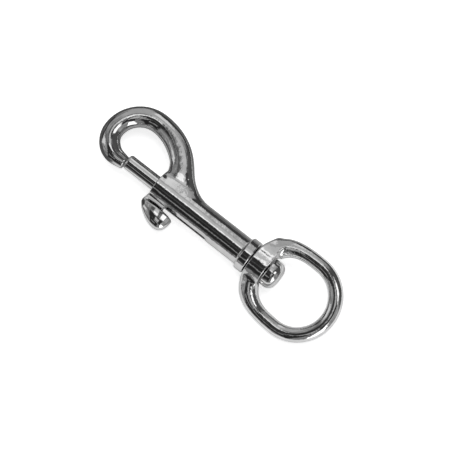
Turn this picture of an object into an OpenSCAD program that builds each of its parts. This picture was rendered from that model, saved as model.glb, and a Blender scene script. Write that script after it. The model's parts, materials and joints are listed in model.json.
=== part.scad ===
// Swivel snap hook, also called a bolt snap.
// A hook cast in one piece with its barrel, a sprung bolt with a thumb lever that closes
// the hook, and a round eye that swivels on a riveted stud at the barrel's other end.
// The barrel runs along X, the hook and the slot lie in the XY plane, and Z is up.

/* [Barrel] */
// Outside diameter of the barrel
barrel_d = 9.8; // [8.6:0.1:11]
// Length of the barrel from its front rim to its rear face
barrel_len = 39.4; // [36:0.2:46]
// Diameter of the collar at the rear of the barrel
collar_d = 11.7; // [11:0.1:13]
// Width of the collar
collar_w = 3.3; // [2:0.1:4]
// Thickness of the wall that closes the rear of the barrel
end_wall = 4.2; // [3:0.1:5]
// Small bevel on the barrel's and the eye's round edges
edge_bevel = 0.4; // [0.2:0.05:0.7]
// Width of the slot that the thumb lever travels in
slot_w = 3; // [2.4:0.1:3.6]
// Length of the slot from the front rim
slot_len = 24.2; // [22:0.2:27]

/* [Bolt and lever] */
// Diameter of the sliding bolt
bolt_d = 5.2; // [4.4:0.1:5.6]
// Length of the bolt
bolt_len = 25.4; // [24:0.2:28]
// Length of the bolt that shows between the barrel and the nose
gate_len = 12.6; // [11:0.1:13]
// How far the bolt slides back to open the hook
bolt_travel = 13.4; // [12.5:0.1:14]
// Radial running clearance between the bolt and its bore
bolt_clearance = 0.08; // [0.04:0.01:0.1]
// Length of the bevel on the tip of the bolt
tip_bevel = 0.5; // [0.4:0.1:1.4]
// Length of the lever's neck along the barrel
neck_len = 7.5; // [5:0.1:8]
// Clearance on each side of the neck in the slot
neck_clearance = 0.2; // [0.1:0.05:0.3]
// How far the neck stands out in front of the barrel's rim
neck_lead = 0.4; // [0:0.1:1]
// Length of the thumb pad
pad_len = 11.8; // [9:0.2:13]
// Depth of the thumb pad, away from the barrel
pad_depth = 5.8; // [4:0.1:7]
// How much deeper the thumb pad is towards its rear
pad_lean = 0.4; // [0:0.05:0.4]
// Width of the thumb pad across the slot
pad_w = 6.4; // [5:0.1:8]
// Gap between the barrel and the thumb pad
pad_gap = 1.1; // [0.8:0.1:1.6]

/* [Hook] */
// Gap between the tip of the bolt and the hook's nose
nose_gap = 0.2; // [0.1:0.05:0.3]
// How far the nose sits below the bolt's axis
nose_drop = 1.1; // [0.6:0.1:1.4]
// Straight length of the nose
nose_len = 3.2; // [2:0.1:5]
// Bend radius of the hook between the nose and its far end
nose_bend = 7; // [6.6:0.1:8]
// Bend radius of the hook's crown
crown_bend = 10.6; // [9.6:0.1:11.6]
// Bend radius of the hook's back, down to the barrel
back_bend = 19.9; // [18.5:0.1:21]
// Diameter of the nose at its end
nose_d = 4.1; // [3.2:0.1:4.6]
// Diameter of the hook at its far end
heel_d = 6.9; // [5:0.1:7.6]
// Diameter of the hook at its crown
crown_d = 7.1; // [5.8:0.1:7.4]
// Width of the hook where its back starts to widen
back_d = 7.8; // [6.4:0.1:8.2]
// How much the root widens towards the eye
root_flare = 6.2; // [5:0.1:8]
// How much the root widens towards the nose
root_heel = 3.4; // [2:0.1:4.2]
// Thickness of the hook as a share of its width
hook_flatness = 0.93; // [0.85:0.01:1]

/* [Swivel] */
// Diameter of the stud's shank
shank_d = 4; // [3.4:0.1:4.4]
// Radial running clearance between the shank and the eye's hub
swivel_clearance = 0.08; // [0.04:0.01:0.1]
// End play of the hub between the collar and the stud's head
swivel_play = 0.3; // [0.15:0.05:0.5]
// Diameter of the stud's outer head
head_d = 9.7; // [8.4:0.1:10.4]
// Height of the stud's outer head
head_h = 4.7; // [3:0.1:5.4]
// Rounding on the rim of the stud's outer head
head_round = 2.8; // [0.8:0.1:3.6]
// Thickness of the stud's riveted inner end
rivet_h = 1; // [0.6:0.1:1.4]
// Diameter of the eye's hub
hub_d = 11.4; // [10.4:0.1:12]
// Length of the eye's hub
hub_len = 5.9; // [5:0.1:7]

/* [Eye] */
// Clear width inside the eye
eye_clear_w = 19.8; // [18:0.2:23]
// Clear length inside the eye, from the hub to its far end
eye_clear_len = 22.6; // [20:0.2:26]
// Thickness of the eye's ring
eye_wire = 4.7; // [4.2:0.1:5.6]
// Thickness of the ring's shoulders, where they leave the hub
shoulder_d = 6.5; // [4.9:0.1:7.2]
// How far the eye is turned about the barrel as it lies
eye_turn = 15; // [0:1:25]

/* [Spring] */
// Thickness of the spring's wire
spring_wire = 0.6; // [0.4:0.05:0.7]
// Number of turns in the spring
spring_turns = 9; // [7:0.5:10]

/* [Hidden] */
metal = [0.72, 0.73, 0.75];
bright_metal = [0.8, 0.81, 0.83];
spring_steel = [0.5, 0.51, 0.53];
round_fn = 96;
hook_sides = 24;
hook_steps = 52;
eye_steps = 56;
pad_steps = 18;
wire_sides = 8;
steps_per_turn = 14;
deg_per_rad = 180 / PI;
// Places along the barrel, with the eye's hub starting at zero
collar_rear = -swivel_play;
barrel_front = collar_rear - barrel_len;
bore_end = collar_rear - end_wall;
bore_r = bolt_d / 2 + bolt_clearance;
slot_end = barrel_front + slot_len;
// The bolt lies with its tip just behind the nose
bolt_tip = barrel_front - gate_len;
bolt_rear = bolt_tip + bolt_len;
nose_end = bolt_tip - nose_gap;
neck_front = barrel_front - neck_lead;
pad_top = -barrel_d / 2 - pad_gap;
pad_crown = 1.2;
// The hook's centreline is a straight nose and three arcs that run into each other
nose_y = -nose_drop;
nose_centre = [nose_end - nose_len, nose_y + nose_bend];
crown_centre = nose_centre + [crown_bend - nose_bend, 0];
back_centre = crown_centre + [0, crown_bend - back_bend];
root_y = 1.75;
root_angle = asin((root_y - back_centre[1]) / back_bend);
flare_angle = 49;
nose_arc_len = nose_bend * 90 / deg_per_rad;
crown_arc_len = crown_bend * 90 / deg_per_rad;
back_arc_len = back_bend * (90 - root_angle) / deg_per_rad;
heel_at = nose_len + nose_arc_len;
crown_at = heel_at + crown_arc_len;
hook_len = crown_at + back_arc_len;
flare_at = crown_at + back_bend * (90 - flare_angle) / deg_per_rad;
nose_full_at = nose_len + nose_arc_len / 2;
nose_ease_from = -nose_full_at * 0.4;
// The root widens fast on the outside and more slowly on the inside, and thickens a little
flare_power = 4;
heel_power = 1.5;
root_thicker = 0.4;
// Cuts run a little past the faces they open, and the bore also clears the root before the barrel
cut_over = 1;
bore_lead = 3;
// The bolt's tip is bevelled, its neck tapers, and the pad has blunt ends
tip_slope = 0.7;
neck_taper = 0.6;
pad_blunt = 0.75;
pad_end_angle = 3;
// The stud runs from its riveted end in the bore to its head behind the hub
shank_r = shank_d / 2;
seat_clearance = 0.03;
head_front = hub_len + swivel_play;
rivet_clearance = 0.15;
rivet_r = bore_r - rivet_clearance;
// The eye's centreline is an oval of two halves, with squarer shoulders at the hub
eye_r = eye_wire / 2;
eye_half_w = eye_clear_w / 2 + eye_r;
eye_far = hub_len + eye_clear_len + eye_r;
eye_start = hub_len / 2;
eye_mid = 18.8;
shoulder_power = 2.8;
shoulder_from = 100;
shoulder_to = 150;
eye_end_angle = 168;
far_power = 2;
// The spring fills the space between the riveted end and the bolt
spring_seat = bore_end - rivet_h;
spring_len = spring_seat - bolt_rear;
spring_clearance = 0.25;
spring_r = bore_r - spring_clearance - spring_wire / 2;
// The part's origin is under the middle of its box, on the surface that it lies on
hook_far_x = nose_centre[0] - nose_bend - heel_d / 2;
hook_top_y = crown_centre[1] + crown_bend + crown_d / 2;
eye_far_x = eye_far + eye_r;
eye_side_y = -(eye_half_w * cos(eye_turn) + eye_r);
origin_shift = [-(hook_far_x + eye_far_x) / 2, -(hook_top_y + eye_side_y) / 2, collar_d / 2];

// A value that eases from one end of a stretch to the other
function ease(v, lo, hi) = let (t = min(1, max(0, (v - lo) / (hi - lo)))) t * t * (3 - 2 * t);

// A skin over a row of rings that have the same number of points, closed at both ends
module skin(rings) {
    n = len(rings[0]);
    last = len(rings) - 1;
    sides = [for (i = [0:last - 1]) for (j = [0:n - 1])
        let (k = (j + 1) % n)
        for (f = [0, 1]) f == 0
            ? [i * n + j, i * n + k, (i + 1) * n + k]
            : [i * n + j, (i + 1) * n + k, (i + 1) * n + j]];
    start_cap = [[for (j = [n - 1:-1:0]) j]];
    end_cap = [[for (j = [0:n - 1]) last * n + j]];
    polyhedron(points = [for (r = rings) each r], faces = concat(sides, start_cap, end_cap));
}

// Where the hook's centreline is at a distance from the end of its nose
function hook_angle(s) =
    s < nose_len ? 270
    : s < heel_at ? 270 - (s - nose_len) / nose_bend * deg_per_rad
    : s < crown_at ? 180 - (s - heel_at) / crown_bend * deg_per_rad
    : 90 - (s - crown_at) / back_bend * deg_per_rad;
function hook_point(s) =
    let (a = hook_angle(s), out = [cos(a), sin(a)])
    s < nose_len ? [nose_end - s, nose_y]
    : s < heel_at ? nose_centre + nose_bend * out
    : s < crown_at ? crown_centre + crown_bend * out
    : back_centre + back_bend * out;

// Half the hook's width there, growing from the nose to the back
function hook_half(s) =
    nose_d / 2
    + (heel_d - nose_d) / 2 * ease(s, nose_ease_from, nose_full_at)
    + (crown_d - heel_d) / 2 * ease(s, heel_at, crown_at)
    + (back_d - crown_d) / 2 * ease(s, crown_at, flare_at);
function root_share(s) = max(0, (s - flare_at) / (hook_len - flare_at));
function outer_half(s) = hook_half(s) + root_flare * pow(root_share(s), flare_power);
function inner_half(s) = hook_half(s) + root_heel * pow(root_share(s), heel_power);
function hook_thick(s) = hook_half(s) * hook_flatness + root_thicker * root_share(s);

function hook_ring(s) =
    let (a = hook_angle(s), p = hook_point(s))
    [for (j = [0:hook_sides - 1])
        let (t = 360 * j / hook_sides, across = cos(t))
        let (reach = across * (across > 0 ? outer_half(s) : inner_half(s)))
        [p[0] + reach * cos(a), p[1] + reach * sin(a), -hook_thick(s) * sin(t)]];

module hook_bow() {
    skin([for (i = [0:hook_steps]) hook_ring(hook_len * i / hook_steps)]);
}

// A round solid along X, from a profile of [x, radius] points
module turned(profile) {
    rotate([0, 90, 0])
        rotate_extrude($fn = round_fn)
            polygon([for (p = profile) [p[1], p[0]]]);
}

module barrel_outside() {
    r = barrel_d / 2;
    collar_r = collar_d / 2;
    collar_front = collar_rear - collar_w;
    turned([
        [barrel_front, 0],
        [barrel_front, r - edge_bevel],
        [barrel_front + edge_bevel, r],
        [collar_front - edge_bevel, r],
        [collar_front + edge_bevel, collar_r],
        [collar_rear - edge_bevel, collar_r],
        [collar_rear, collar_r - edge_bevel],
        [collar_rear, 0]
    ]);
}

module slot_cut() {
    cut_front = barrel_front - cut_over;
    round_at = slot_end - slot_w / 2;
    rotate([90, 0, 0])
        linear_extrude(height = barrel_d)
            union() {
                translate([cut_front, -slot_w / 2])
                    square([round_at - cut_front, slot_w]);
                translate([round_at, 0])
                    circle(d = slot_w, $fn = round_fn);
            }
}

module along_x(from, to, r) {
    translate([from, 0, 0])
        rotate([0, 90, 0])
            cylinder(h = to - from, r = r, $fn = round_fn);
}

module hook_body() {
    color(metal)
        translate(origin_shift)
            difference() {
                union() {
                    barrel_outside();
                    hook_bow();
                }
                along_x(barrel_front - bore_lead, bore_end, bore_r);
                along_x(bore_end - cut_over, collar_rear + cut_over, shank_r + seat_clearance);
                slot_cut();
            }
}

// The thumb pad is bean shaped: nearly flat beside the barrel, round below, deepest near its rear
function pad_ring(u) =
    let (full = pow(sin(u), pad_blunt), below = full * (1 - pad_lean * cos(u)) * (pad_depth - pad_crown))
    [for (j = [0:hook_sides - 1])
        let (t = 360 * j / hook_sides, rise = sin(t) * (sin(t) < 0 ? below : full * pad_crown))
        [neck_front + pad_len * (1 - cos(u)) / 2,
         pad_top - pad_crown + rise,
         full * cos(t) * pad_w / 2]];

module thumb_pad() {
    skin([for (i = [0:pad_steps]) pad_ring(pad_end_angle + (180 - 2 * pad_end_angle) * i / pad_steps)]);
}

module lever_neck() {
    neck_w = slot_w - 2 * neck_clearance;
    neck_bottom = pad_top - pad_crown - neck_taper;
    translate([0, 0, -neck_w / 2])
        linear_extrude(height = neck_w)
            polygon([
                [neck_front + neck_taper, -bolt_d / 4],
                [neck_front + neck_len - neck_taper, -bolt_d / 4],
                [neck_front + neck_len - neck_taper, -barrel_d / 2],
                [neck_front + neck_len + neck_taper, neck_bottom],
                [neck_front + neck_taper, neck_bottom],
                [neck_front, pad_top]
            ]);
}

module bolt() {
    color(bright_metal)
        translate(origin_shift)
            union() {
                turned([
                    [bolt_tip, 0],
                    [bolt_tip, bolt_d / 2 - tip_bevel * tip_slope],
                    [bolt_tip + tip_bevel, bolt_d / 2],
                    [bolt_rear - edge_bevel, bolt_d / 2],
                    [bolt_rear, bolt_d / 2 - edge_bevel],
                    [bolt_rear, 0]
                ]);
                lever_neck();
                thumb_pad();
            }
}

function spring_ring(i, steps) =
    let (turn = 360 * spring_turns * i / steps, rise = (spring_len - spring_wire) * i / steps)
    [for (j = [0:wire_sides - 1])
        let (t = -360 * j / wire_sides, r = spring_r + spring_wire / 2 * cos(t))
        [bolt_rear + spring_wire / 2 + rise + spring_wire / 2 * sin(t), r * cos(turn), r * sin(turn)]];

module spring() {
    steps = spring_turns * steps_per_turn;
    color(spring_steel)
        translate(origin_shift)
            skin([for (i = [0:steps]) spring_ring(i, steps)]);
}

module stud_head() {
    r = head_d / 2;
    top = head_front + head_h;
    turned(concat(
        [[head_front, 0], [head_front, r - edge_bevel], [head_front + edge_bevel, r]],
        [for (a = [0:15:90]) [top - head_round + head_round * sin(a), r - head_round + head_round * cos(a)]],
        [[top, 0]]
    ));
}

module swivel_stud() {
    color(bright_metal)
        translate(origin_shift)
            union() {
                along_x(spring_seat, bore_end, rivet_r);
                along_x(spring_seat, head_front + edge_bevel, shank_r);
                stud_head();
            }
}

// The eye's centreline, at an angle round its oval
function eye_point(a) =
    let (far = cos(a) > 0, power = 2 / (far ? far_power : shoulder_power))
    let (reach = far ? eye_far - eye_mid : eye_mid - eye_start)
    [eye_mid + sign(cos(a)) * reach * pow(abs(cos(a)), power),
     eye_half_w * sign(sin(a)) * pow(abs(sin(a)), power)];

function eye_ring(a) =
    let (p = eye_point(a), ahead = eye_point(a + 0.5) - eye_point(a - 0.5), d = ahead / norm(ahead))
    let (r = eye_r + (shoulder_d / 2 - eye_r) * ease(abs(a), shoulder_from, shoulder_to))
    [for (j = [0:hook_sides - 1])
        let (t = 360 * j / hook_sides)
        [p[0] + r * cos(t) * d[1], p[1] - r * cos(t) * d[0], r * sin(t)]];

module eye_loop() {
    skin([for (i = [0:eye_steps]) eye_ring(eye_end_angle * (2 * i / eye_steps - 1))]);
}

// The hub's two faces are cut square, so that the shoulders clear the collar and the stud's head
module swivel_eye() {
    r = hub_d / 2;
    color(metal)
        translate(origin_shift)
            rotate([eye_turn, 0, 0])
                difference() {
                    union() {
                        turned([
                            [0, 0],
                            [0, r - edge_bevel],
                            [edge_bevel, r],
                            [hub_len - edge_bevel, r],
                            [hub_len, r - edge_bevel],
                            [hub_len, 0]
                        ]);
                        eye_loop();
                    }
                    along_x(-cut_over, hub_len + cut_over, shank_r + swivel_clearance);
                    along_x(hub_len, head_front + head_h, r);
                    along_x(-hub_len, 0, collar_d);
                }
}

hook_body();
bolt();
spring();
swivel_stud();
swivel_eye();
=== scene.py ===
# %% [markdown]
# # A swivel snap hook in bright plate
#
# The object is a small bolt snap: a cast hook closed by a sprung sliding bolt, and a round eye that
# swivels on a riveted stud. Everything on it is polished metal under bright plate, so its whole look
# comes from how cleanly its curves carry reflections. We take the sized pieces from the frame, give
# each one a smooth skin with the soft fillets of a casting, and then work on the plate and the light.

# %% Load the frame
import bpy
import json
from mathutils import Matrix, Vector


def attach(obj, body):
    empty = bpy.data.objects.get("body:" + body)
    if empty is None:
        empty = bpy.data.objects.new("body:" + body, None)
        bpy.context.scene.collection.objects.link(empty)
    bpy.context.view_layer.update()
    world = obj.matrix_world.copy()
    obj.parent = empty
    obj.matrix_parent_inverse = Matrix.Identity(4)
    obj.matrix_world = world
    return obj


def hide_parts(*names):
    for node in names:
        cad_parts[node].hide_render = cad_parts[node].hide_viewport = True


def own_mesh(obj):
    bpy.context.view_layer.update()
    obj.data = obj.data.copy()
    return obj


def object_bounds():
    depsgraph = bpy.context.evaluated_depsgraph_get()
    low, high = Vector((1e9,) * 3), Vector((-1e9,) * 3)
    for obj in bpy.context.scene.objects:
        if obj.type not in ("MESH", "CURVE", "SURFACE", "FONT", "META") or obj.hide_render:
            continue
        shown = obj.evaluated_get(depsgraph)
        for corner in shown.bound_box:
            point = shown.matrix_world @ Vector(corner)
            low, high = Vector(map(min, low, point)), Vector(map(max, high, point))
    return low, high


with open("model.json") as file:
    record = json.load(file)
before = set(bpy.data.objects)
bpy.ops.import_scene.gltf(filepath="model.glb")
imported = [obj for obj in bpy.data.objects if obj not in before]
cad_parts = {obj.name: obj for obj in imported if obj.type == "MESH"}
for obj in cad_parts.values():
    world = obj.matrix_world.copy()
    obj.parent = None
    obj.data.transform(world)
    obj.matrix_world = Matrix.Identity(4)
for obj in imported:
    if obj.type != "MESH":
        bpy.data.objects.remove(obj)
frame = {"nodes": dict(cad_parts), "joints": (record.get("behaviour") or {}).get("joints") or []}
cad_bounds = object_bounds()
print("the sized solids lie between", *cad_bounds)

# %% Tools for this lesson
import json
import math
import bmesh
import bpy
import numpy as np
from mathutils import Matrix, Vector

MM = 0.001
print("nodes", sorted(frame["nodes"]))

# %% [markdown]
# The hook, the bolt and the eye all sit on one line, the barrel's axis. It is easiest to think in
# millimetres from the point where that axis meets the front of the eye's hub, so we keep that point
# and move between the two ways of counting with two small helpers.

# %% The barrel's axis
swivel = [j for j in frame["joints"] if j["name"] == "eye_swivel"][0]
axis_point = np.array(swivel["pos_m"])


def to_axis(points_m):
    """Scene metres to millimetres from the hub's front on the axis."""
    return (np.asarray(points_m) - axis_point) / MM


def to_scene(points_mm):
    """Millimetres from the hub's front on the axis to scene metres."""
    return np.asarray(points_mm) * MM + axis_point


print("axis passes", axis_point.round(5))

# %% [markdown]
# A polished casting has no hard edges: where two forms meet, the metal flows from one to the other.
# One way to get that is to bevel edge loops by hand. Here each casting is described as a field
# instead, a formula that is negative inside the metal and positive outside. Two fields blend with a
# smooth minimum, and the blend's width is the fillet's size, so one number rounds a whole joint.

# %% Blending fields
def smooth_min(a, b, width):
    """Joins two solids with a fillet of about this width."""
    h = np.clip(0.5 + 0.5 * (b - a) / width, 0.0, 1.0)
    return b * (1 - h) + a * h - width * h * (1 - h)


def smooth_max(a, b, width):
    """Keeps what both solids share, with a rounded edge."""
    return -smooth_min(-a, -b, width)


def cut(a, b, width):
    """Takes solid b away from solid a, with a rounded edge."""
    return smooth_max(a, -b, width)


def rod(x, r, start, end, radius, rounding):
    """A round rod along the axis with rounded rims."""
    middle, half = (start + end) / 2, (end - start) / 2
    dx = np.abs(x - middle) - (half - rounding)
    dr = r - (radius - rounding)
    outside = np.hypot(np.maximum(dx, 0), np.maximum(dr, 0))
    return outside + np.minimum(np.maximum(dx, dr), 0) - rounding


def block(x, y, z, low, high, rounding):
    """A box with rounded edges."""
    d = [np.abs(v - (a + b) / 2) - ((b - a) / 2 - rounding) for v, a, b in zip((x, y, z), low, high)]
    outside = np.sqrt(sum(np.maximum(v, 0) ** 2 for v in d))
    return outside + np.minimum(np.maximum(np.maximum(d[0], d[1]), d[2]), 0) - rounding


def ease(v, low, high):
    """Goes from 0 to 1 between two values, gently at both ends."""
    t = np.clip((v - low) / (high - low), 0.0, 1.0)
    return t * t * (3 - 2 * t)


print("a fillet of 2 mm between two faces 1 mm away:", smooth_min(np.array(1.0), np.array(1.0), 2.0))

# %% [markdown]
# To turn a field into a mesh we start from the sized solid that the frame holds. A voxel remesh
# covers it with even little squares, and then every corner is walked onto the field's zero surface
# along the field's own slope. The slope also tells us exactly which way the surface faces, so we
# hand it over as the shading normal, and the reflections run without a ripple.

# %% Walking onto a surface
def slope(field, points, step=0.002):
    """Which way a field grows at each point."""
    grad = np.empty_like(points)
    for k in range(3):
        ahead, behind = points.copy(), points.copy()
        ahead[:, k] += step
        behind[:, k] -= step
        grad[:, k] = (field(ahead) - field(behind)) / (2 * step)
    return grad


def settle(field, points, rounds=7, most=0.35, flattest=0.04):
    """Walks points onto the surface where the field is zero, at most so many mm at a time."""
    for _ in range(rounds):
        value = field(points)
        grad = slope(field, points)
        size = np.maximum((grad ** 2).sum(1), flattest)
        move = -(value / size)[:, None] * grad
        length = np.linalg.norm(move, axis=1)
        points = points + move * np.minimum(1.0, most / np.maximum(length, 1e-9))[:, None]
    return points


walker = settle(lambda p: np.linalg.norm(p, axis=1) - 3, np.array([[4.0, 1.0, 0.0]]))
print("a point walked onto a ball of 3 mm ends", np.linalg.norm(walker).round(3), "mm from its middle")


# %% A start with even squares
def lay_over(mesh, block_corners, block_faces):
    """Adds one more closed block to a mesh."""
    start = bmesh.new()
    start.from_mesh(mesh)
    corners = [start.verts.new(tuple(c)) for c in to_scene(block_corners)]
    for face in block_faces:
        start.faces.new([corners[i] for i in face])
    start.to_mesh(mesh)
    start.free()


def remeshed(piece, voxel):
    """A new mesh of even little squares over a piece."""
    weld = piece.modifiers.new("weld", "WELD")
    weld.merge_threshold = 0.002 * MM
    remesh = piece.modifiers.new("remesh", "REMESH")
    remesh.mode = "VOXEL"
    remesh.voxel_size = voxel * MM
    depsgraph = bpy.context.evaluated_depsgraph_get()
    mesh = bpy.data.meshes.new_from_object(piece.evaluated_get(depsgraph))
    piece.modifiers.clear()
    mesh.materials.clear()
    return mesh


print("the frame's hook body has", len(frame["nodes"]["hook_body"].data.vertices), "corners to start from")


# %% From a field to a skin
def skin(node, field, voxel, name, extra=None):
    """A smooth piece that follows a field, started from a solid of the frame."""
    source = frame["nodes"][node]
    piece = bpy.data.objects.new(name, source.data.copy())
    bpy.context.scene.collection.objects.link(piece)
    piece.data.materials.clear()
    if extra is not None:
        lay_over(piece.data, *extra)
    mesh = remeshed(piece, voxel)
    piece.data = mesh
    co = np.empty(len(mesh.vertices) * 3)
    mesh.vertices.foreach_get("co", co)
    points = settle(field, to_axis(co.reshape(-1, 3)))
    mesh.vertices.foreach_set("co", to_scene(points).ravel())
    grad = slope(field, points)
    normals = grad / np.linalg.norm(grad, axis=1)[:, None]
    mesh.shade_smooth()
    mesh.update()
    mesh.normals_split_custom_set_from_vertices(normals.tolist())
    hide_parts(node)
    left = np.abs(field(points)).max()
    print(name, "corners", len(points), "furthest from its surface", round(float(left), 4), "mm")
    return piece


print("ready to skin three castings")

# %% [markdown]
# ## The hook body
#
# On the real object the barrel, its collar, the hook and the web between them come out of the die
# in one piece. The hook's middle line is a short straight nose and three arcs, each one running
# into the next. For any point we find which arc it belongs to, how far along the hook it lies, and
# how far it is to the side. An oval whose size changes along the hook then gives the field.

# %% Sizes of the barrel
barrel_d = 9.8
barrel_front = -39.7
collar_d = 11.7
collar_front = -3.6
collar_rear = -0.3
bolt_d = 5.2
bore_play = 0.08
bore_end = -4.5
slot_half = 1.5
slot_end = -15.5
shank_r = 2.0
barrel_r = barrel_d / 2
collar_r = collar_d / 2
bore_r = bolt_d / 2 + bore_play
print("the barrel runs from", barrel_front, "to", collar_rear, "mm")

# %% Sizes of the hook
nose_end = -52.5
nose_y = -1.1
nose_len = 3.2
nose_bend = 7
crown_bend = 10.6
back_bend = 19.9
nose_d = 4.1
heel_d = 6.9
crown_d = 7.1
back_d = 7.8
hook_flatness = 0.93
root_y = 1.75
root_flare = 6.2
root_heel = 3.4
root_extra = 0.4
nose_centre = (nose_end - nose_len, nose_y + nose_bend)
crown_centre = (nose_centre[0] + crown_bend - nose_bend, nose_centre[1])
back_centre = (crown_centre[0], crown_centre[1] + crown_bend - back_bend)
print("the arcs turn about", *np.round([nose_centre, crown_centre, back_centre], 1))

# %% Places along the hook
heel_at = nose_len + nose_bend * math.pi / 2
crown_at = heel_at + crown_bend * math.pi / 2
nose_full_at = nose_len + nose_bend * math.pi / 4


def along_back(angle):
    """How far along the hook the back's arc is at this angle above the axis."""
    return crown_at + back_bend * (math.pi / 2 - angle)


hook_len = along_back(math.asin((root_y - back_centre[1]) / back_bend))
flare_at = along_back(math.radians(49))
print("the hook's middle line is", round(hook_len, 1), "mm long")

# %% [markdown]
# Two things keep the hook from looking like a bent pipe. Its oval grows squarer along the back, as
# on the real casting, and near the root it loses a little thickness before it meets the barrel.
# That shallow step turns the metal by a few degrees only, but in bright plate a few degrees are the
# difference between a grey band and a white one.

# %% The step at the root
back_squareness = 0.9
root_step = 0.08
step_from = along_back(math.radians(34))
step_to = along_back(math.radians(21))
print("the step runs from", round(step_from, 1), "to", round(step_to, 1), "mm along the hook")

# %% Where a point lies on the hook
before_nose = 3
past_end = 10


def hook_place(x, y):
    """How far along the hook a point lies, and how far outside its middle line."""
    nose_a = np.arctan2(-(x - nose_centre[0]), -(y - nose_centre[1]))
    crown_a = np.arctan2(y - crown_centre[1], -(x - crown_centre[0]))
    back_a = np.arctan2(x - back_centre[0], y - back_centre[1])
    on_back = x >= crown_centre[0]
    on_nose = (y < nose_centre[1]) & ~on_back
    along = np.where(on_back, crown_at + back_bend * back_a, heel_at + crown_bend * crown_a)
    aside = np.where(
        on_back,
        np.hypot(x - back_centre[0], y - back_centre[1]) - back_bend,
        np.hypot(x - crown_centre[0], y - crown_centre[1]) - crown_bend,
    )
    along = np.where(on_nose, nose_len + nose_bend * nose_a, along)
    aside = np.where(on_nose, np.hypot(x - nose_centre[0], y - nose_centre[1]) - nose_bend, aside)
    straight = on_nose & (x > nose_centre[0])
    along = np.where(straight, nose_end - x, along)
    aside = np.where(straight, nose_y - y, aside)
    return np.clip(along, -before_nose, hook_len + past_end), aside


crown_top = (np.array([crown_centre[0]]), np.array([crown_centre[1] + crown_bend]))
print("the crown's top, along the hook and aside of it:", *hook_place(*crown_top))

# %% The hook as a field
deep_inside = -50.0
nose_top = 1.0
root_round = 1.2
nose_round = 0.5


def hook_field(x, y, z):
    """The swept hook: an oval that grows from the nose to the root."""
    s, aside = hook_place(x, y)
    half = nose_d / 2 + (heel_d - nose_d) / 2 * ease(s, -0.4 * nose_full_at, nose_full_at)
    half = half + (crown_d - heel_d) / 2 * ease(s, heel_at, crown_at)
    half = half + (back_d - crown_d) / 2 * ease(s, crown_at, flare_at)
    share = np.clip((s - flare_at) / (hook_len - flare_at), 0, 1)
    wide = np.where(aside > 0, half + root_flare * share ** 4, half + root_heel * share ** 1.5)
    thick = hook_flatness * half + root_extra * share
    thick = thick * (1 - root_step * ease(s, step_from, step_to))
    power = 2 + back_squareness * ease(s, crown_at, flare_at)
    a, b = np.abs(aside / wide) + 1e-6, np.abs(z / thick) + 1e-6
    q = (a ** power + b ** power) ** (1 / power)
    steep = np.hypot(a ** (power - 1) / wide, b ** (power - 1) / thick) * q ** (1 - power) + 1e-9
    tube = (q - 1) / steep
    past_root = np.where(x > crown_centre[0], (s - hook_len) * (1 + aside / back_bend), deep_inside)
    past_nose = np.where(y < nose_top, x - nose_end, deep_inside)
    return smooth_max(smooth_max(tube, past_root, root_round), past_nose, nose_round)


print("the field inside the crown's top:", hook_field(*crown_top, np.zeros(1)).round(2), "mm")

# %% The whole casting as a field
rim_round = 0.3
collar_round = 0.45
collar_fillet = 0.7
web_fillet = 1.3
bore_round = 0.25
hole_round = 0.1
slot_round = 0.5
hole_play = 0.03
overlap = 1
clear_front = barrel_front - 6


def body_field(p):
    """The whole casting: barrel, collar, hook and web, with its bore and its slot."""
    x, y, z = p[:, 0], p[:, 1], p[:, 2]
    r = np.hypot(y, z)
    barrel = rod(x, r, barrel_front, collar_rear, barrel_r, rim_round)
    collar = rod(x, r, collar_front, collar_rear, collar_r, collar_round)
    solid = smooth_min(barrel, collar, collar_fillet)
    solid = smooth_min(solid, hook_field(x, y, z), web_fillet)
    bore = np.maximum(r - bore_r, x - bore_end)
    bore = np.maximum(bore, clear_front - x)
    hole = np.maximum(r - (shank_r + hole_play), bore_end - overlap - x)
    rounded_end = np.hypot(np.maximum(x - (slot_end - slot_half), 0), z) - slot_half
    slot = np.maximum(np.maximum(rounded_end, y), clear_front - x)
    solid = cut(solid, bore, bore_round)
    solid = cut(solid, hole, hole_round)
    return cut(solid, slot, slot_round)


hook_body = skin("hook_body", body_field, voxel=0.24, name="hook_body_casting")
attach(hook_body, "body")

# %% [markdown]
# ## The bolt and its thumb lever
#
# The bolt is a plain round bar with a bevelled tip. Its thumb lever is cast on: a neck that comes
# out through the slot, and a bean-shaped pad for the thumb. The pad's field is a stretched ball with
# a blunt rear and a nearly flat side next to the barrel.

# %% Sizes of the bolt
bolt_r = bolt_d / 2
bolt_tip = -52.3
bolt_rear = bolt_tip + 25.4
tip_bevel = 0.5
tip_drop = 0.7 * tip_bevel
neck_front = barrel_front - 0.4
neck_rear = neck_front + 7.5
neck_half = 1.3
pad_top = -barrel_r - 1.1
pad_crown = 1.2
pad_len = 11.8
pad_depth = 5.8
pad_w = 6.4
pad_lean = 0.4
pad_blunt = 0.75
pad_square = 2.9
print("bolt from", bolt_tip, "to", round(bolt_rear, 1), "mm, pad down to", round(pad_top - pad_depth, 1))


# %% The thumb pad as a field
def pad_shape(x, y, z):
    """Zero on the bean-shaped pad, below zero inside it."""
    c = 2 * (x - neck_front) / pad_len - 1
    down = y - (pad_top - pad_crown)
    deep = np.where(down < 0, (pad_depth - pad_crown) * (1 + pad_lean * np.clip(c, -1.2, 1.2)), pad_crown)
    side = np.abs(z / (pad_w / 2)) ** pad_square + np.abs(down / deep) ** pad_square
    side = side ** (2 / pad_square)
    return np.sqrt(side ** (1 / pad_blunt) + c ** 2) - 1


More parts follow.
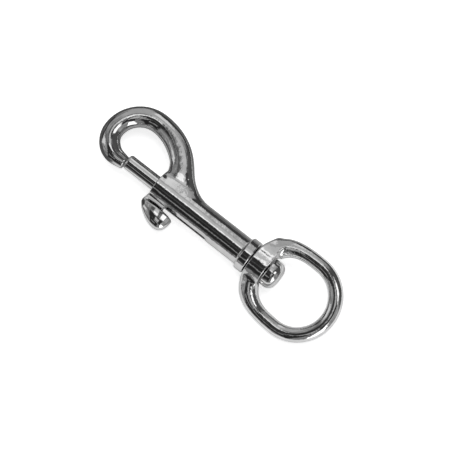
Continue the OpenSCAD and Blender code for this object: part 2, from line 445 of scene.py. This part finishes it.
def pad_field(x, y, z, e=0.01, flattest=0.08):
    """The pad's field, divided by its own slope to be near a true distance."""
    here = pad_shape(x, y, z)
    gx = (pad_shape(x + e, y, z) - pad_shape(x - e, y, z)) / (2 * e)
    gy = (pad_shape(x, y + e, z) - pad_shape(x, y - e, z)) / (2 * e)
    gz = (pad_shape(x, y, z + e) - pad_shape(x, y, z - e)) / (2 * e)
    return here / np.maximum(np.sqrt(gx ** 2 + gy ** 2 + gz ** 2), flattest)


pad_middle = (np.array([neck_front + pad_len / 2]), np.array([pad_top]), np.zeros(1))
print("the field at the pad's top:", pad_field(*pad_middle).round(2), "mm")

# %% The bolt as a field
bar_round = 0.2
tip_round = 0.25
neck_round = 0.3
neck_lean = 0.5
lever_fillet = 1.3
bar_fillet = 0.35
neck_low = (neck_front, pad_top - 1.4, -neck_half)
neck_high = (neck_rear - 0.6, -1.0, neck_half)


def bolt_field(p):
    """Bar, neck and pad of the bolt."""
    x, y, z = p[:, 0], p[:, 1], p[:, 2]
    r = np.hypot(y, z)
    bar = rod(x, r, bolt_tip, bolt_rear, bolt_r, bar_round)
    run = math.hypot(tip_bevel, tip_drop)
    bevel = (-(x - bolt_tip) * tip_drop + (r - (bolt_r - tip_drop)) * tip_bevel) / run
    bar = smooth_max(bar, bevel, tip_round)
    lean = neck_lean * np.clip((y - pad_top) / (-bolt_r / 2 - pad_top), 0, 1)
    neck = block(x - lean, y, z, neck_low, neck_high, neck_round)
    lever = smooth_min(neck, pad_field(x, y, z), lever_fillet)
    return smooth_min(bar, lever, bar_fillet)


bolt = skin("bolt", bolt_field, voxel=0.2, name="sliding_bolt")
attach(bolt, "bolt")

# %% [markdown]
# ## The swivel eye
#
# The eye is a second casting: a hub with a hole through it, and a ring that leaves the hub with
# square shoulders and comes round in an oval. It is free to turn, and as the hook lies on a table
# one side of the ring hangs down to it, so the whole eye is turned a little about the axis. It is
# loose on its stud too, and the far end of the ring sags by about a millimetre.

# %% Sizes of the eye
hub_d = 11.4
hub_len = 5.9
eye_turn = math.radians(15)
eye_sag = math.radians(2)
eye_wire = 5.1
shoulder_d = 6.5
eye_clear_w = 19.8
eye_clear_len = 22.6
eye_mid = 18.8
shoulder_power = 2.8
far_power = 2
shoulder_span = (100, 150)
hub_r = hub_d / 2
eye_r = eye_wire / 2
shoulder_r = shoulder_d / 2
eye_half_w = eye_clear_w / 2 + eye_r
eye_start = hub_len / 2
eye_far = hub_len + eye_clear_len + eye_r
print("the eye is", round(eye_far + eye_r, 1), "mm long and", round(2 * (eye_half_w + eye_r), 1), "mm wide")


# %% The ring's middle line
def oval(a):
    """The middle line of the ring, squarer on the hub's side."""
    far = np.cos(a) > 0
    power = np.where(far, 2 / far_power, 2 / shoulder_power)
    reach = np.where(far, eye_far - eye_mid, eye_mid - eye_start)
    x = eye_mid + np.sign(np.cos(a)) * reach * np.abs(np.cos(a)) ** power
    return np.stack([x, eye_half_w * np.sign(np.sin(a)) * np.abs(np.sin(a)) ** power], -1)


def ring_radius(a):
    """The ring thickens into its shoulders, from one angle to another."""
    return eye_r + (shoulder_r - eye_r) * ease(np.abs(np.degrees(a)), *shoulder_span)


line_points = 1800
angles = np.linspace(-math.pi, math.pi, line_points, endpoint=False)
uneven = oval(angles)
print("the ring's middle line spans", uneven.min(0).round(1), uneven.max(0).round(1))

# %% [markdown]
# The oval's formula sets its points close together in some places and far apart in others. A mirror
# finish would show each of them as a ripple. So we walk round the line and pick the points again in
# even steps, and keep the line's direction and its taper beside each point. The distance to the
# ring then runs smoothly from one point to the next.

# %% Even steps round the ring
walked = np.cumsum(np.linalg.norm(uneven - np.roll(uneven, 1, axis=0), axis=1))
line_step = walked[-1] / line_points
even_angles = np.interp(np.arange(line_points) * line_step + walked[0], walked, angles)
line = oval(even_angles)
line_r = ring_radius(even_angles)
line_way = (np.roll(line, -1, axis=0) - np.roll(line, 1, axis=0)) / (2 * line_step)
line_taper = (np.roll(line_r, -1) - np.roll(line_r, 1)) / (2 * line_step)
print("steps of", round(line_step, 3), "mm")

# %% The distance to the ring
coarse_step = 15
batch = 4000
look_around = 24


class NearLine:
    """Finds the nearest place on the ring, remembering where it was last time."""

    def __init__(self):
        self.index = None

    def look_everywhere(self, x, y):
        """A first rough search, in batches to spare memory."""
        coarse = line[::coarse_step]
        found = []
        for i in range(0, len(x), batch):
            dx = x[i:i + batch, None] - coarse[:, 0]
            dy = y[i:i + batch, None] - coarse[:, 1]
            found.append((dx ** 2 + dy ** 2).argmin(1))
        self.index = np.concatenate(found) * coarse_step

    def distance(self, x, y, z):
        """How far points are outside the ring's surface."""
        if self.index is None or len(self.index) != len(x):
            self.look_everywhere(x, y)
        window = (self.index[:, None] + np.arange(-look_around, look_around + 1)) % line_points
        flat = (x[:, None] - line[window, 0]) ** 2 + (y[:, None] - line[window, 1]) ** 2
        here = window[np.arange(len(x)), flat.argmin(1)]
        self.index = here
        dx, dy = x - line[here, 0], y - line[here, 1]
        along = np.clip(dx * line_way[here, 0] + dy * line_way[here, 1], -line_step, line_step)
        flat = np.maximum(dx ** 2 + dy ** 2 - along ** 2, 0)
        return np.sqrt(flat + z ** 2) - line_r[here] - along * line_taper[here]


near_ring = NearLine()
print("one search looks at", 2 * look_around + 1, "points of the line")

# %% [markdown]
# Between ring and hub the real casting has a yoke: a flat oval plate, thinner than the hub, that
# carries the ring's shoulders. Its corners are cut back at a slant, and it reaches further out on
# one side than on the other. Inside the eye the metal is cut clear, so the stud's head has room.

# %% The yoke
yoke_half = 9.1
yoke_shift = 1.8
yoke_thick = 5.05
yoke_slant = 0.5
yoke_round = 0.5
corner_round = 0.8


def yoke_field(x, y, z):
    """The oval plate between hub and ring."""
    out = y - yoke_shift
    q = np.sqrt((out / yoke_half) ** 2 + (z / yoke_thick) ** 2) + 1e-9
    steep = np.sqrt((out / yoke_half ** 2) ** 2 + (z / yoke_thick ** 2) ** 2) / q + 1e-9
    plate = smooth_max((q - 1) / steep, np.abs(x - hub_len / 2) - hub_len / 2, yoke_round)
    slant = (yoke_slant * (np.abs(y) - hub_r) - x) / math.hypot(1, yoke_slant)
    return smooth_max(plate, slant, corner_round)


print("the yoke reaches from", round(yoke_shift - yoke_half, 1), "to", round(yoke_shift + yoke_half, 1), "mm")

# %% The eye as a field
hub_round = 0.35
yoke_fillet = 0.8
ring_fillet = 1.0
front_round = 0.2
eye_hole_round = 0.15
eye_play = 0.08
past_hub = 2
room_len = 8
room_r = hub_r - 0.2
room_rim = 0.2
room_round = 0.3


def eye_field(p):
    """Ring, yoke and hub, with the hole for the stud."""
    c, s = math.cos(eye_turn), math.sin(eye_turn)
    x, y, z = p[:, 0], p[:, 1] * c + p[:, 2] * s, -p[:, 1] * s + p[:, 2] * c
    c, s = math.cos(eye_sag), math.sin(eye_sag)
    ring_x = hub_len / 2 + (x - hub_len / 2) * c - y * s
    ring_y = (x - hub_len / 2) * s + y * c
    r = np.hypot(y, z)
    hub = rod(x, r, 0.0, hub_len, hub_r, hub_round)
    solid = smooth_min(hub, yoke_field(x, y, z), yoke_fillet)
    solid = smooth_min(solid, near_ring.distance(ring_x, ring_y, z), ring_fillet)
    head_room = rod(x, r, hub_len, hub_len + room_len, room_r, room_rim)
    solid = cut(solid, head_room, room_round)
    solid = smooth_max(solid, -x, front_round)
    hole = np.maximum(r - (shank_r + eye_play), x - hub_len - past_hub)
    return cut(solid, hole, eye_hole_round)


print("the hole leaves", eye_play, "mm round the stud")

# %% [markdown]
# A skin can only settle on metal that its start already covers, and the frame's eye has no yoke. A
# hollow oval block is laid over it first. It is hollow so that the hole for the stud stays open.

# %% A start for the yoke
oval_steps = 48
yoke_bore_r = 3.8
block_inset = 0.1
c, s = math.cos(eye_turn), math.sin(eye_turn)
yoke_corners = []
for x in (block_inset, hub_len - block_inset):
    for middle, wide, thick in ((yoke_shift, yoke_half, yoke_thick), (0, yoke_bore_r, yoke_bore_r)):
        for a in np.linspace(0, 2 * math.pi, oval_steps, endpoint=False):
            y, z = middle + wide * math.cos(a), thick * math.sin(a)
            yoke_corners.append((x, y * c - z * s, y * s + z * c))
yoke_faces = []
for i in range(oval_steps):
    j = (i + 1) % oval_steps
    for first, second in ((0, 2), (3, 1), (1, 0), (2, 3)):
        first, second = first * oval_steps, second * oval_steps
        yoke_faces.append((first + i, first + j, second + j, second + i))
print("the yoke's block has", len(yoke_faces), "faces")

# %% The eye's skin
yoke_block = (np.array(yoke_corners), yoke_faces)
swivel_eye = skin("swivel_eye", eye_field, voxel=0.22, name="swivel_eye_casting", extra=yoke_block)
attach(swivel_eye, "eye")

# %% [markdown]
# ## The stud and the spring
#
# The stud is a turned rivet, so it is made the way it is in life: a profile spun about the axis.
# The spring is a coil of drawn wire. It can only be seen through the slot, and when the bolt is
# drawn back it closes up.

# %% Turning a profile
def turned(profile, name, around=96):
    """A solid spun about the axis from [x, radius] points, closed at both ends."""
    steps = np.linspace(0, 2 * math.pi, around, endpoint=False)
    rings = [[(x, r * math.cos(t), r * math.sin(t)) for t in steps] for x, r in profile]
    corners = to_scene(np.array(rings).reshape(-1, 3))
    faces = []
    for i in range(0, (len(profile) - 1) * around, around):
        for j in range(around):
            k = (j + 1) % around
            faces.append((i + j, i + k, i + around + k, i + around + j))
    faces.append(tuple(range(around - 1, -1, -1)))
    faces.append(tuple((len(profile) - 1) * around + j for j in range(around)))
    mesh = bpy.data.meshes.new(name)
    mesh.from_pydata([tuple(c) for c in corners], [], faces)
    mesh.update()
    mesh.shade_smooth()
    piece = bpy.data.objects.new(name, mesh)
    bpy.context.scene.collection.objects.link(piece)
    print(name, "has", len(mesh.polygons), "faces")
    return piece


def rounded(corner_x, corner_r, radius, start, end, steps=8):
    """Points of a rounded rim about a centre, between two angles."""
    points = []
    for a in np.radians(np.linspace(start, end, steps)):
        points.append((corner_x + radius * math.sin(a), corner_r + radius * math.cos(a)))
    return points


print("a rounded rim has", len(rounded(0, 0, 1, 0, 90)), "points")

# %% The stud
head_d = 9.7
head_h = 4.7
head_r = head_d / 2
head_front = hub_len + 0.3
head_end = head_front + head_h
head_round = 2.8
head_edge = 0.4
rivet_r = bore_r - 0.15
rivet_bevel = 0.2
spring_seat = bore_end - 1.0
near_axis = 0.05
stud_profile = (
    [(spring_seat, near_axis), (spring_seat, rivet_r - rivet_bevel), (spring_seat + rivet_bevel, rivet_r)]
    + [(bore_end, rivet_r), (bore_end, shank_r), (head_front, shank_r), (head_front, head_r - 0.45)]
    + rounded(head_front + head_edge, head_r - head_edge, head_edge, -90, 0, 5)
    + rounded(head_end - head_round, head_r - head_round, head_round, 0, 84, 14)
    + [(head_end + 0.02, 1.2), (head_end + 0.04, near_axis)]
)
stud = turned(stud_profile, "swivel_stud_rivet")
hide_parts("swivel_stud")
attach(stud, "body")

# %% Sizes of the spring
spring_wire = 0.6
spring_turns = 9
wire_r = spring_wire / 2
spring_r = bore_r - 0.25 - wire_r
spring_len = spring_seat - bolt_rear
turn_steps = 28
wire_sides = 10
total = spring_turns * turn_steps
print("the spring is", round(spring_len, 1), "mm long at rest")

# %% The coil
coil = []
for i in range(total + 1):
    t = 2 * math.pi * i / turn_steps
    rise = wire_r + (spring_len - spring_wire) * (i / total)
    for j in range(wire_sides):
        w = 2 * math.pi * j / wire_sides
        radius = spring_r + wire_r * math.cos(w)
        coil.append((bolt_rear + rise + wire_r * math.sin(w), radius * math.cos(t), radius * math.sin(t)))
coil_faces = []
for i in range(0, total * wire_sides, wire_sides):
    for j in range(wire_sides):
        k = (j + 1) % wire_sides
        coil_faces.append((i + j, i + wire_sides + j, i + wire_sides + k, i + k))
coil_faces.append(tuple(range(wire_sides)))
coil_faces.append(tuple(total * wire_sides + j for j in range(wire_sides - 1, -1, -1)))
spring_mesh = bpy.data.meshes.new("spring_coil")
spring_mesh.from_pydata([tuple(c) for c in to_scene(np.array(coil))], [], coil_faces)
spring_mesh.update()
spring_mesh.shade_smooth()
spring = bpy.data.objects.new("spring_coil", spring_mesh)
bpy.context.scene.collection.objects.link(spring)
print("the coil has", len(coil_faces), "faces")

# %% The spring on its seat
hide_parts("spring")
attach(spring, "body")
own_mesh(spring)

# %% [markdown]
# ## Bright plate
#
# Polished nickel over a zinc casting is nearly a mirror, but never a perfect one. Buffing leaves the
# surface a little wavy, the plate has a faint peel and pores, handling draws fine scratches along
# it, and it dulls in cloudy patches. One metal colour alone would look like a computer's chrome.
# A picture of scratched metal could be wrapped round the piece, but it would smear on the bends.
# Noise that fills the space around the piece has no seams, so every effect here is made of it.

# %% An empty material
def new_material(name):
    """An empty node material with its output and main shader."""
    material = bpy.data.materials.new(name)
    material.use_nodes = True
    tree = material.node_tree
    tree.nodes.clear()
    output = tree.nodes.new("ShaderNodeOutputMaterial")
    shader = tree.nodes.new("ShaderNodeBsdfPrincipled")
    tree.links.new(shader.outputs["BSDF"], output.inputs["Surface"])
    return material, tree, shader


print("each material starts with an output and one shader")


# %% Patterns and their tones
def noise(tree, coords, scale, detail=3.0, stretch=(1, 1, 1)):
    """A noise pattern, sized in lumps per metre and stretched if asked."""
    mapping = tree.nodes.new("ShaderNodeMapping")
    mapping.inputs["Scale"].default_value = stretch
    tree.links.new(coords, mapping.inputs["Vector"])
    texture = tree.nodes.new("ShaderNodeTexNoise")
    texture.inputs["Scale"].default_value = scale
    texture.inputs["Detail"].default_value = detail
    tree.links.new(mapping.outputs["Vector"], texture.inputs["Vector"])
    return texture.outputs["Fac"]


def ramp(tree, value, stops):
    """Turns a pattern into a run of greys or colours."""
    node = tree.nodes.new("ShaderNodeValToRGB")
    node.color_ramp.elements[0].position = stops[0][0]
    node.color_ramp.elements[0].color = (*stops[0][1], 1)
    node.color_ramp.elements[1].position = stops[-1][0]
    node.color_ramp.elements[1].color = (*stops[-1][1], 1)
    for place, colour in stops[1:-1]:
        node.color_ramp.elements.new(place).color = (*colour, 1)
    tree.links.new(value, node.inputs["Fac"])
    return node.outputs["Color"]


print("patterns are sized in lumps per metre, so 1000 gives lumps of a millimetre")


# %% Bumps
def bump(tree, height, strength, distance, below=None):
    """A bump from a pattern, laid over another bump if there is one."""
    node = tree.nodes.new("ShaderNodeBump")
    node.inputs["Strength"].default_value = strength
    node.inputs["Distance"].default_value = distance
    tree.links.new(height, node.inputs["Height"])
    if below is not None:
        tree.links.new(below, node.inputs["Normal"])
    return node.outputs["Normal"]


print("a bump can lie on another bump")

# %% The plated finish
cloud_scale = 260
dull_scale = 420
wave_scale, wave_depth = 150, 0.0008
peel_scale, peel_depth = 700, 0.00024
pore_scale, pore_depth = 2200, 0.00005
scratch_scale, scratch_depth = 2600, 0.00004
drawn_out = (0.05, 1, 1)


def grey(v):
    """One tone as a colour."""
    return (v, v, v)


def plated(name, tone, smooth, waves, scratches):
    """Bright plate: mirror metal with waves, peel, pores, scratches and cloudy patches."""
    material, tree, shader = new_material(name)
    coords = tree.nodes.new("ShaderNodeTexCoord").outputs["Object"]
    dull, clear = grey(tone * 0.9), grey(min(1, tone * 1.06))
    cloud = noise(tree, coords, cloud_scale, 4)
    colour = ramp(tree, cloud, [(0.3, dull), (0.55, grey(tone)), (0.75, clear)])
    tree.links.new(colour, shader.inputs["Base Color"])
    patches = noise(tree, coords, dull_scale, 5)
    rough = ramp(tree, patches, [(0.35, grey(smooth)), (0.7, grey(smooth * 2.2))])
    tree.links.new(rough, shader.inputs["Roughness"])
    slow = bump(tree, noise(tree, coords, wave_scale, 1.5), waves, wave_depth)
    peel = bump(tree, noise(tree, coords, peel_scale, 2.5), waves, peel_depth, slow)
    pores = bump(tree, noise(tree, coords, pore_scale, 3), waves, pore_depth, peel)
    lines = noise(tree, coords, scratch_scale, 2, drawn_out)
    fine = bump(tree, lines, scratches, scratch_depth, pores)
    tree.links.new(fine, shader.inputs["Normal"])
    shader.inputs["Metallic"].default_value = 1.0
    return material


print("at full strength waves are", wave_depth / MM, "mm deep and scratches", scratch_depth / MM, "mm")

# %% [markdown]
# The four plated pieces went through the same bath, but not through the same hands. The bolt runs in
# its bore and is the smoothest, the big castings are a little wavier, and the stud's head has more
# scratches. So each piece gets its own tone, smoothness, waves and scratches.

# %% A finish for each plated piece
finishes = {
    hook_body: ("plated_body", plated("bright_plate_body", 0.71, smooth=0.035, waves=0.16, scratches=0.14)),
    bolt: ("plated_bolt", plated("bright_plate_bolt", 0.74, smooth=0.03, waves=0.08, scratches=0.12)),
    swivel_eye: ("plated_eye", plated("bright_plate_eye", 0.71, smooth=0.04, waves=0.18, scratches=0.14)),
    stud: ("plated_stud", plated("bright_plate_stud", 0.68, smooth=0.05, waves=0.12, scratches=0.2)),
}
for piece, (slot_name, material) in finishes.items():
    piece.data.materials.append(material)
print("plated", [m.name for _, m in finishes.values()])

# %% [markdown]
# The spring isn't plated like the castings. It is hard steel wire, pulled through a die, so it is
# darker and duller than they are, with a finer grain.


# %% Drawn wire for the spring
def drawn_wire(name):
    """Spring wire: darker and duller metal with a fine grain."""
    material, tree, shader = new_material(name)
    coords = tree.nodes.new("ShaderNodeTexCoord").outputs["Object"]
    colour = ramp(tree, noise(tree, coords, 1500, 4), [(0.3, grey(0.3)), (0.7, grey(0.48))])
    tree.links.new(colour, shader.inputs["Base Color"])
    rough = ramp(tree, noise(tree, coords, 2200, 3), [(0.3, grey(0.25)), (0.7, grey(0.42))])
    tree.links.new(rough, shader.inputs["Roughness"])
    grain = bump(tree, noise(tree, coords, 5000, 2), 0.3, 0.00003)
    tree.links.new(grain, shader.inputs["Normal"])
    shader.inputs["Metallic"].default_value = 1.0
    return material


spring.data.materials.append(drawn_wire("drawn_spring_wire"))
print("the spring is made of", spring.data.materials[0].name)

# %% [markdown]
# ## The table and the light
#
# Bright metal shows the room more than itself. In a plain studio that room is a white table below, a
# wide soft lamp above, and darkness behind the camera. The dark part matters as much as the lamp: it
# draws the long black bands that make a polished bar look round.

# %% The table top
table_half = 3.0
table_gap = 0.0002
table_corners = [(x * table_half, y * table_half, 0) for x, y in ((-1, -1), (1, -1), (1, 1), (-1, 1))]
floor_mesh = bpy.data.meshes.new("floor")
floor_mesh.from_pydata(table_corners, [], [(0, 1, 2, 3)])
floor = bpy.data.objects.new("floor", floor_mesh)
bpy.context.scene.collection.objects.link(floor)
floor.location.z = cad_bounds[0][2] - table_gap
print("floor at", round(floor.location.z, 5))


# %% Small sums for node trees
def link_math(tree, kind, first, second):
    """One step of arithmetic between two values or sockets."""
    node = tree.nodes.new("ShaderNodeMath")
    node.operation = kind
    for socket, value in zip(node.inputs, (first, second)):
        if hasattr(value, "is_linked"):
            tree.links.new(value, socket)
        else:
            socket.default_value = value
    return node.outputs[0]


def mix_grey(tree, share, first, second):
    """Blends two greys, a share of 0 giving the first."""
    less = link_math(tree, "SUBTRACT", 1.0, share)
    of_first = link_math(tree, "MULTIPLY", first, less)
    of_second = link_math(tree, "MULTIPLY", second, share)
    return link_math(tree, "ADD", of_first, of_second)


def edge(tree, value, low, high):
    """Goes from 0 to 1, gently, as a value goes from low to high."""
    node = tree.nodes.new("ShaderNodeMapRange")
    node.interpolation_type = "SMOOTHSTEP"
    node.inputs["From Min"].default_value = low
    node.inputs["From Max"].default_value = high
    tree.links.new(value, node.inputs["Value"])
    return node.outputs["Result"]


def sides_of(tree, vector):
    """The X and Y parts of a place or a direction."""
    split = tree.nodes.new("ShaderNodeSeparateXYZ")
    tree.links.new(vector, split.inputs["Vector"])
    return split.outputs["X"], split.outputs["Y"]


print("sums ready")

# %% [markdown]
# To the camera the table is one even white. In the metal it isn't: there the sheet carries painted light
# and shade. It is pale on the thumb lever's side and white below the eye, with a painted shade behind the
# hook and past its nose, where the real sheet must have been in shade. One could cut a real sheet to shape
# and shade it with more cards. Here the shade is painted instead, and the paint answers two ways: rays that
# come from the metal see painted light and shade that depend on the place, and every other ray sees the
# same light grey. A little glow lifts it to paper white.

# %% The painted light and shade that the metal sees
floor_material, floor_tree, floor_shader = new_material("white_table_with_painted_shade_in_metal")
floor_coords = floor_tree.nodes.new("ShaderNodeTexCoord").outputs["Object"]
floor_x, floor_y = sides_of(floor_tree, floor_coords)
# Painted light on the lever's side and below the eye, painted shade behind the hook and past its nose, seen
# only in reflections.
near_side_painted_light = 0.85
far_side_painted_shade = 0.16
eye_side_painted_light = 1.0
past_nose_painted_shade = 0.1
into_far_side_shade = edge(floor_tree, floor_y, -0.02, 0.03)
painted_reflection_shade = mix_grey(floor_tree, into_far_side_shade, near_side_painted_light, far_side_painted_shade)
into_eye_side_light = edge(floor_tree, floor_x, 0.0, 0.04)
painted_reflection_shade = mix_grey(floor_tree, into_eye_side_light, painted_reflection_shade, eye_side_painted_light)
out_of_nose_shade = edge(floor_tree, floor_x, -0.044, -0.036)
painted_reflection_shade = mix_grey(floor_tree, out_of_nose_shade, past_nose_painted_shade, painted_reflection_shade)
print("the metal sees the table through", len(floor_tree.nodes), "nodes")

# %% The table's paint
sheet_tone = 0.8
sheet_grain = 0.02
sheet_glow = 0.66
path = floor_tree.nodes.new("ShaderNodeLightPath")
paper = noise(floor_tree, floor_coords, 900, 2)
# Rays from the metal get the painted light and shade; every other ray gets the plain sheet tone.
base = mix_grey(floor_tree, path.outputs["Is Glossy Ray"], sheet_tone, painted_reflection_shade)
base = link_math(floor_tree, "ADD", base, link_math(floor_tree, "MULTIPLY", paper, sheet_grain))
floor_tree.links.new(base, floor_shader.inputs["Base Color"])
floor_shader.inputs["Roughness"].default_value = 0.9
floor_shader.inputs["Specular IOR Level"].default_value = 0.0
lift = link_math(floor_tree, "MULTIPLY", path.outputs["Is Camera Ray"], sheet_glow)
floor_shader.inputs["Emission Color"].default_value = (1, 1, 1, 1)
floor_tree.links.new(lift, floor_shader.inputs["Emission Strength"])
floor_mesh.materials.append(floor_material)
print("the table is painted", floor_material.name)

# %% [markdown]
# The lamp does two jobs: it lights the table, and it lays the soft shadow under the hook. It hangs a
# little behind the hook, so that the shadow falls towards us. The metal doesn't see the lamp itself,
# because a sharp white rectangle in every curve would give the studio away as a model.


# %% The lamp
def lamp(name, place, aim, size, power):
    """A soft rectangular lamp that points at a place."""
    data = bpy.data.lights.new(name, "AREA")
    data.shape = "RECTANGLE"
    data.size, data.size_y = size
    data.energy = power
    light = bpy.data.objects.new(name, data)
    bpy.context.scene.collection.objects.link(light)
    light.location = place
    light.rotation_euler = (Vector(aim) - Vector(place)).to_track_quat("-Z", "Y").to_euler()
    light.visible_glossy = False
    return light


lamp("overhead", place=(-0.1, 0.25, 0.7), aim=(0, 0, 0), size=(0.7, 0.5), power=3.0)

# %% [markdown]
# ## The room in the metal
#
# A photographer shapes the reflections on metal with cards: a white one lays a bright stripe along
# a bar, and a black one gives it an edge. A photograph of a room could be wrapped round the scene,
# but then nothing could be moved by itself. So the room is built from directions. It starts as
# cloudy grey all round, and each card is a patch of one tone with soft edges. The sky's X runs from
# the nose to the eye, and its Y from the thumb lever's side to the far side.

# %% The empty room
world = bpy.data.worlds.new("studio_room")
bpy.context.scene.world = world
world.use_nodes = True
room = world.node_tree
room.nodes.clear()
room_out = room.nodes.new("ShaderNodeOutputWorld")
room_light = room.nodes.new("ShaderNodeBackground")
room.links.new(room_light.outputs["Background"], room_out.inputs["Surface"])
direction = room.nodes.new("ShaderNodeTexCoord").outputs["Generated"]
shade = noise(room, direction, 5.0, 5)
light = ramp(room, shade, [(0.32, grey(0.1)), (0.46, grey(0.24)), (0.56, grey(0.32)), (0.68, grey(0.5))])
print("the empty room has", len(room.nodes), "nodes")


# %% Cards with uneven edges
def wander(value, scale, amount):
    """Makes a straight edge run unevenly."""
    lump = link_math(room, "SUBTRACT", noise(room, direction, scale, 3), 0.5)
    return link_math(room, "ADD", value, link_math(room, "MULTIPLY", lump, amount))


def strip(value, span, soft):
    """1 between two values and 0 outside them, with soft edges."""
    entered = edge(room, value, span[0] - soft, span[0] + soft)
    left = edge(room, value, span[1] - soft, span[1] + soft)
    return link_math(room, "MULTIPLY", entered, link_math(room, "SUBTRACT", 1.0, left))


def card(below, x_span, y_span, soft, tone):
    """Hangs a card of one tone in the room, seen between these directions."""
    patch = link_math(room, "MULTIPLY", strip(east, x_span, soft), strip(north, y_span, soft))
    return mix_grey(room, patch, below, tone)


room_x, room_y = sides_of(room, direction)
east_wander = 0.16
north_wander = 0.1
east = wander(room_x, 5.0, east_wander)
north = wander(room_y, 6.0, north_wander)
print("the edges wander by up to", east_wander / 2, "and", north_wander / 2)

# %% [markdown]
# Each card below answers something in the photograph: a white stripe on the crown, the black band
# down the barrel, the bright spot on the eye's far side. They were placed one at a time, by asking
# from which direction the metal there gets its light. A later card hangs in front of an earlier one.
# Each line says what a card is, its span in X, its span in Y, how soft its edge is, and its tone.

# %% Hanging the cards
cards = [
    ("grey wall past the nose", (-0.8, -0.05), (0.3, 0.9), 0.08, 0.46),
    ("dark wall past the eye", (0.12, 0.9), (0.3, 1.1), 0.06, 0.09),
    ("white strip on the grey wall", (-0.34, -0.155), (0.62, 0.9), 0.03, 0.85),
    ("dark card overhead", (-0.03, 0.3), (0.14, 0.44), 0.03, 0.06),
    ("white card low by the nose", (-0.9, -0.62), (-0.5, -0.2), 0.05, 0.8),
    ("darkness on the near side", (-0.36, 0.32), (-0.97, -0.4), 0.03, 0.022),
    ("darkness round the camera", (-0.42, 0.6), (-0.46, 0.0), 0.03, 0.03),
    ("pale card beside the camera", (0.0, 0.3), (-0.5, -0.08), 0.03, 0.55),
    ("grey strip low on the near side", (-0.24, 0.1), (-0.76, -0.68), 0.02, 0.3),
    ("dim strip on the near side", (-0.24, 0.4), (-0.42, -0.34), 0.02, 0.08),
    ("soft light overhead", (-0.23, 0.0), (0.0, 0.45), 0.03, 0.62),
    ("its paler middle", (-0.23, 0.0), (0.01, 0.26), 0.04, 0.68),
    ("its bright near end", (-0.22, 0.02), (0.02, 0.12), 0.02, 1.3),
    ("lamp on the eye's side", (0.25, 0.62), (0.05, 0.36), 0.04, 1.6),
    ("low lamp past the eye", (0.66, 0.95), (-0.74, -0.32), 0.03, 2.2),
    ("dark foot of the wall past the nose", (-0.99, -0.9), (-0.6, 0.4), 0.02, 0.05),
    ("dark foot of the far wall", (-1.1, 0.6), (0.9, 1.1), 0.02, 0.05),
]
for _, x_span, y_span, soft, tone in cards:
    light = card(light, x_span, y_span, soft, tone)
print("hung", len(cards), "cards, the brightest one is the", max(cards, key=lambda c: c[-1])[0])

# %% Who sees the room
plain_wall = 0.5
white_sky = 1.0
room_path = room.nodes.new("ShaderNodeLightPath")
brightness = mix_grey(room, room_path.outputs["Is Glossy Ray"], plain_wall, light)
brightness = mix_grey(room, room_path.outputs["Is Camera Ray"], brightness, white_sky)
room.links.new(brightness, room_light.inputs["Strength"])
room_light.inputs["Color"].default_value = (1, 1, 1, 1)
print("the metal sees the cards, the camera sees white, and all else sees a grey of", plain_wall)

# %% [markdown]
# ## The camera
#
# The photograph looks steeply down on the hook, from the side where the thumb lever is, through a
# long lens. The camera's angles and distance were found by laying the model's outline over the
# photograph's and turning the camera until the two agreed.

# %% The view's directions
photo_px = 452
view_azimuth = math.radians(-37.96)
view_elevation = math.radians(76.89)
view_roll = math.radians(0.78)
view_distance = 0.5549
px_per_metre = 3052.1
view_aim = [-14.41, 4.19, -5.7]
flat_share = math.cos(view_elevation)
ahead_x = math.sin(view_azimuth) * flat_share
ahead_y = math.cos(view_azimuth) * flat_share
ahead = Vector((ahead_x, ahead_y, -math.sin(view_elevation)))
level = Vector((math.cos(view_azimuth), -math.sin(view_azimuth), 0))
upright = level.cross(ahead)
right = level * math.cos(view_roll) + upright * math.sin(view_roll)
up = upright * math.cos(view_roll) - level * math.sin(view_roll)
print("the view leans", round(90 - math.degrees(view_elevation), 1), "degrees from straight down")

# %% Place the camera
camera_data = bpy.data.cameras.new("camera")
camera_data.sensor_width = 36.0
camera_data.lens = px_per_metre * view_distance / photo_px * camera_data.sensor_width
camera_data.clip_start = 0.01
camera = bpy.data.objects.new("camera", camera_data)
bpy.context.scene.collection.objects.link(camera)
columns = Matrix((right, up, -ahead)).transposed()
camera.matrix_world = columns.to_4x4()
camera.location = Vector(to_scene(view_aim)) - ahead * view_distance
bpy.context.scene.camera = camera
bpy.context.scene.view_settings.view_transform = "Standard"
print("lens", round(camera_data.lens, 1), "mm")
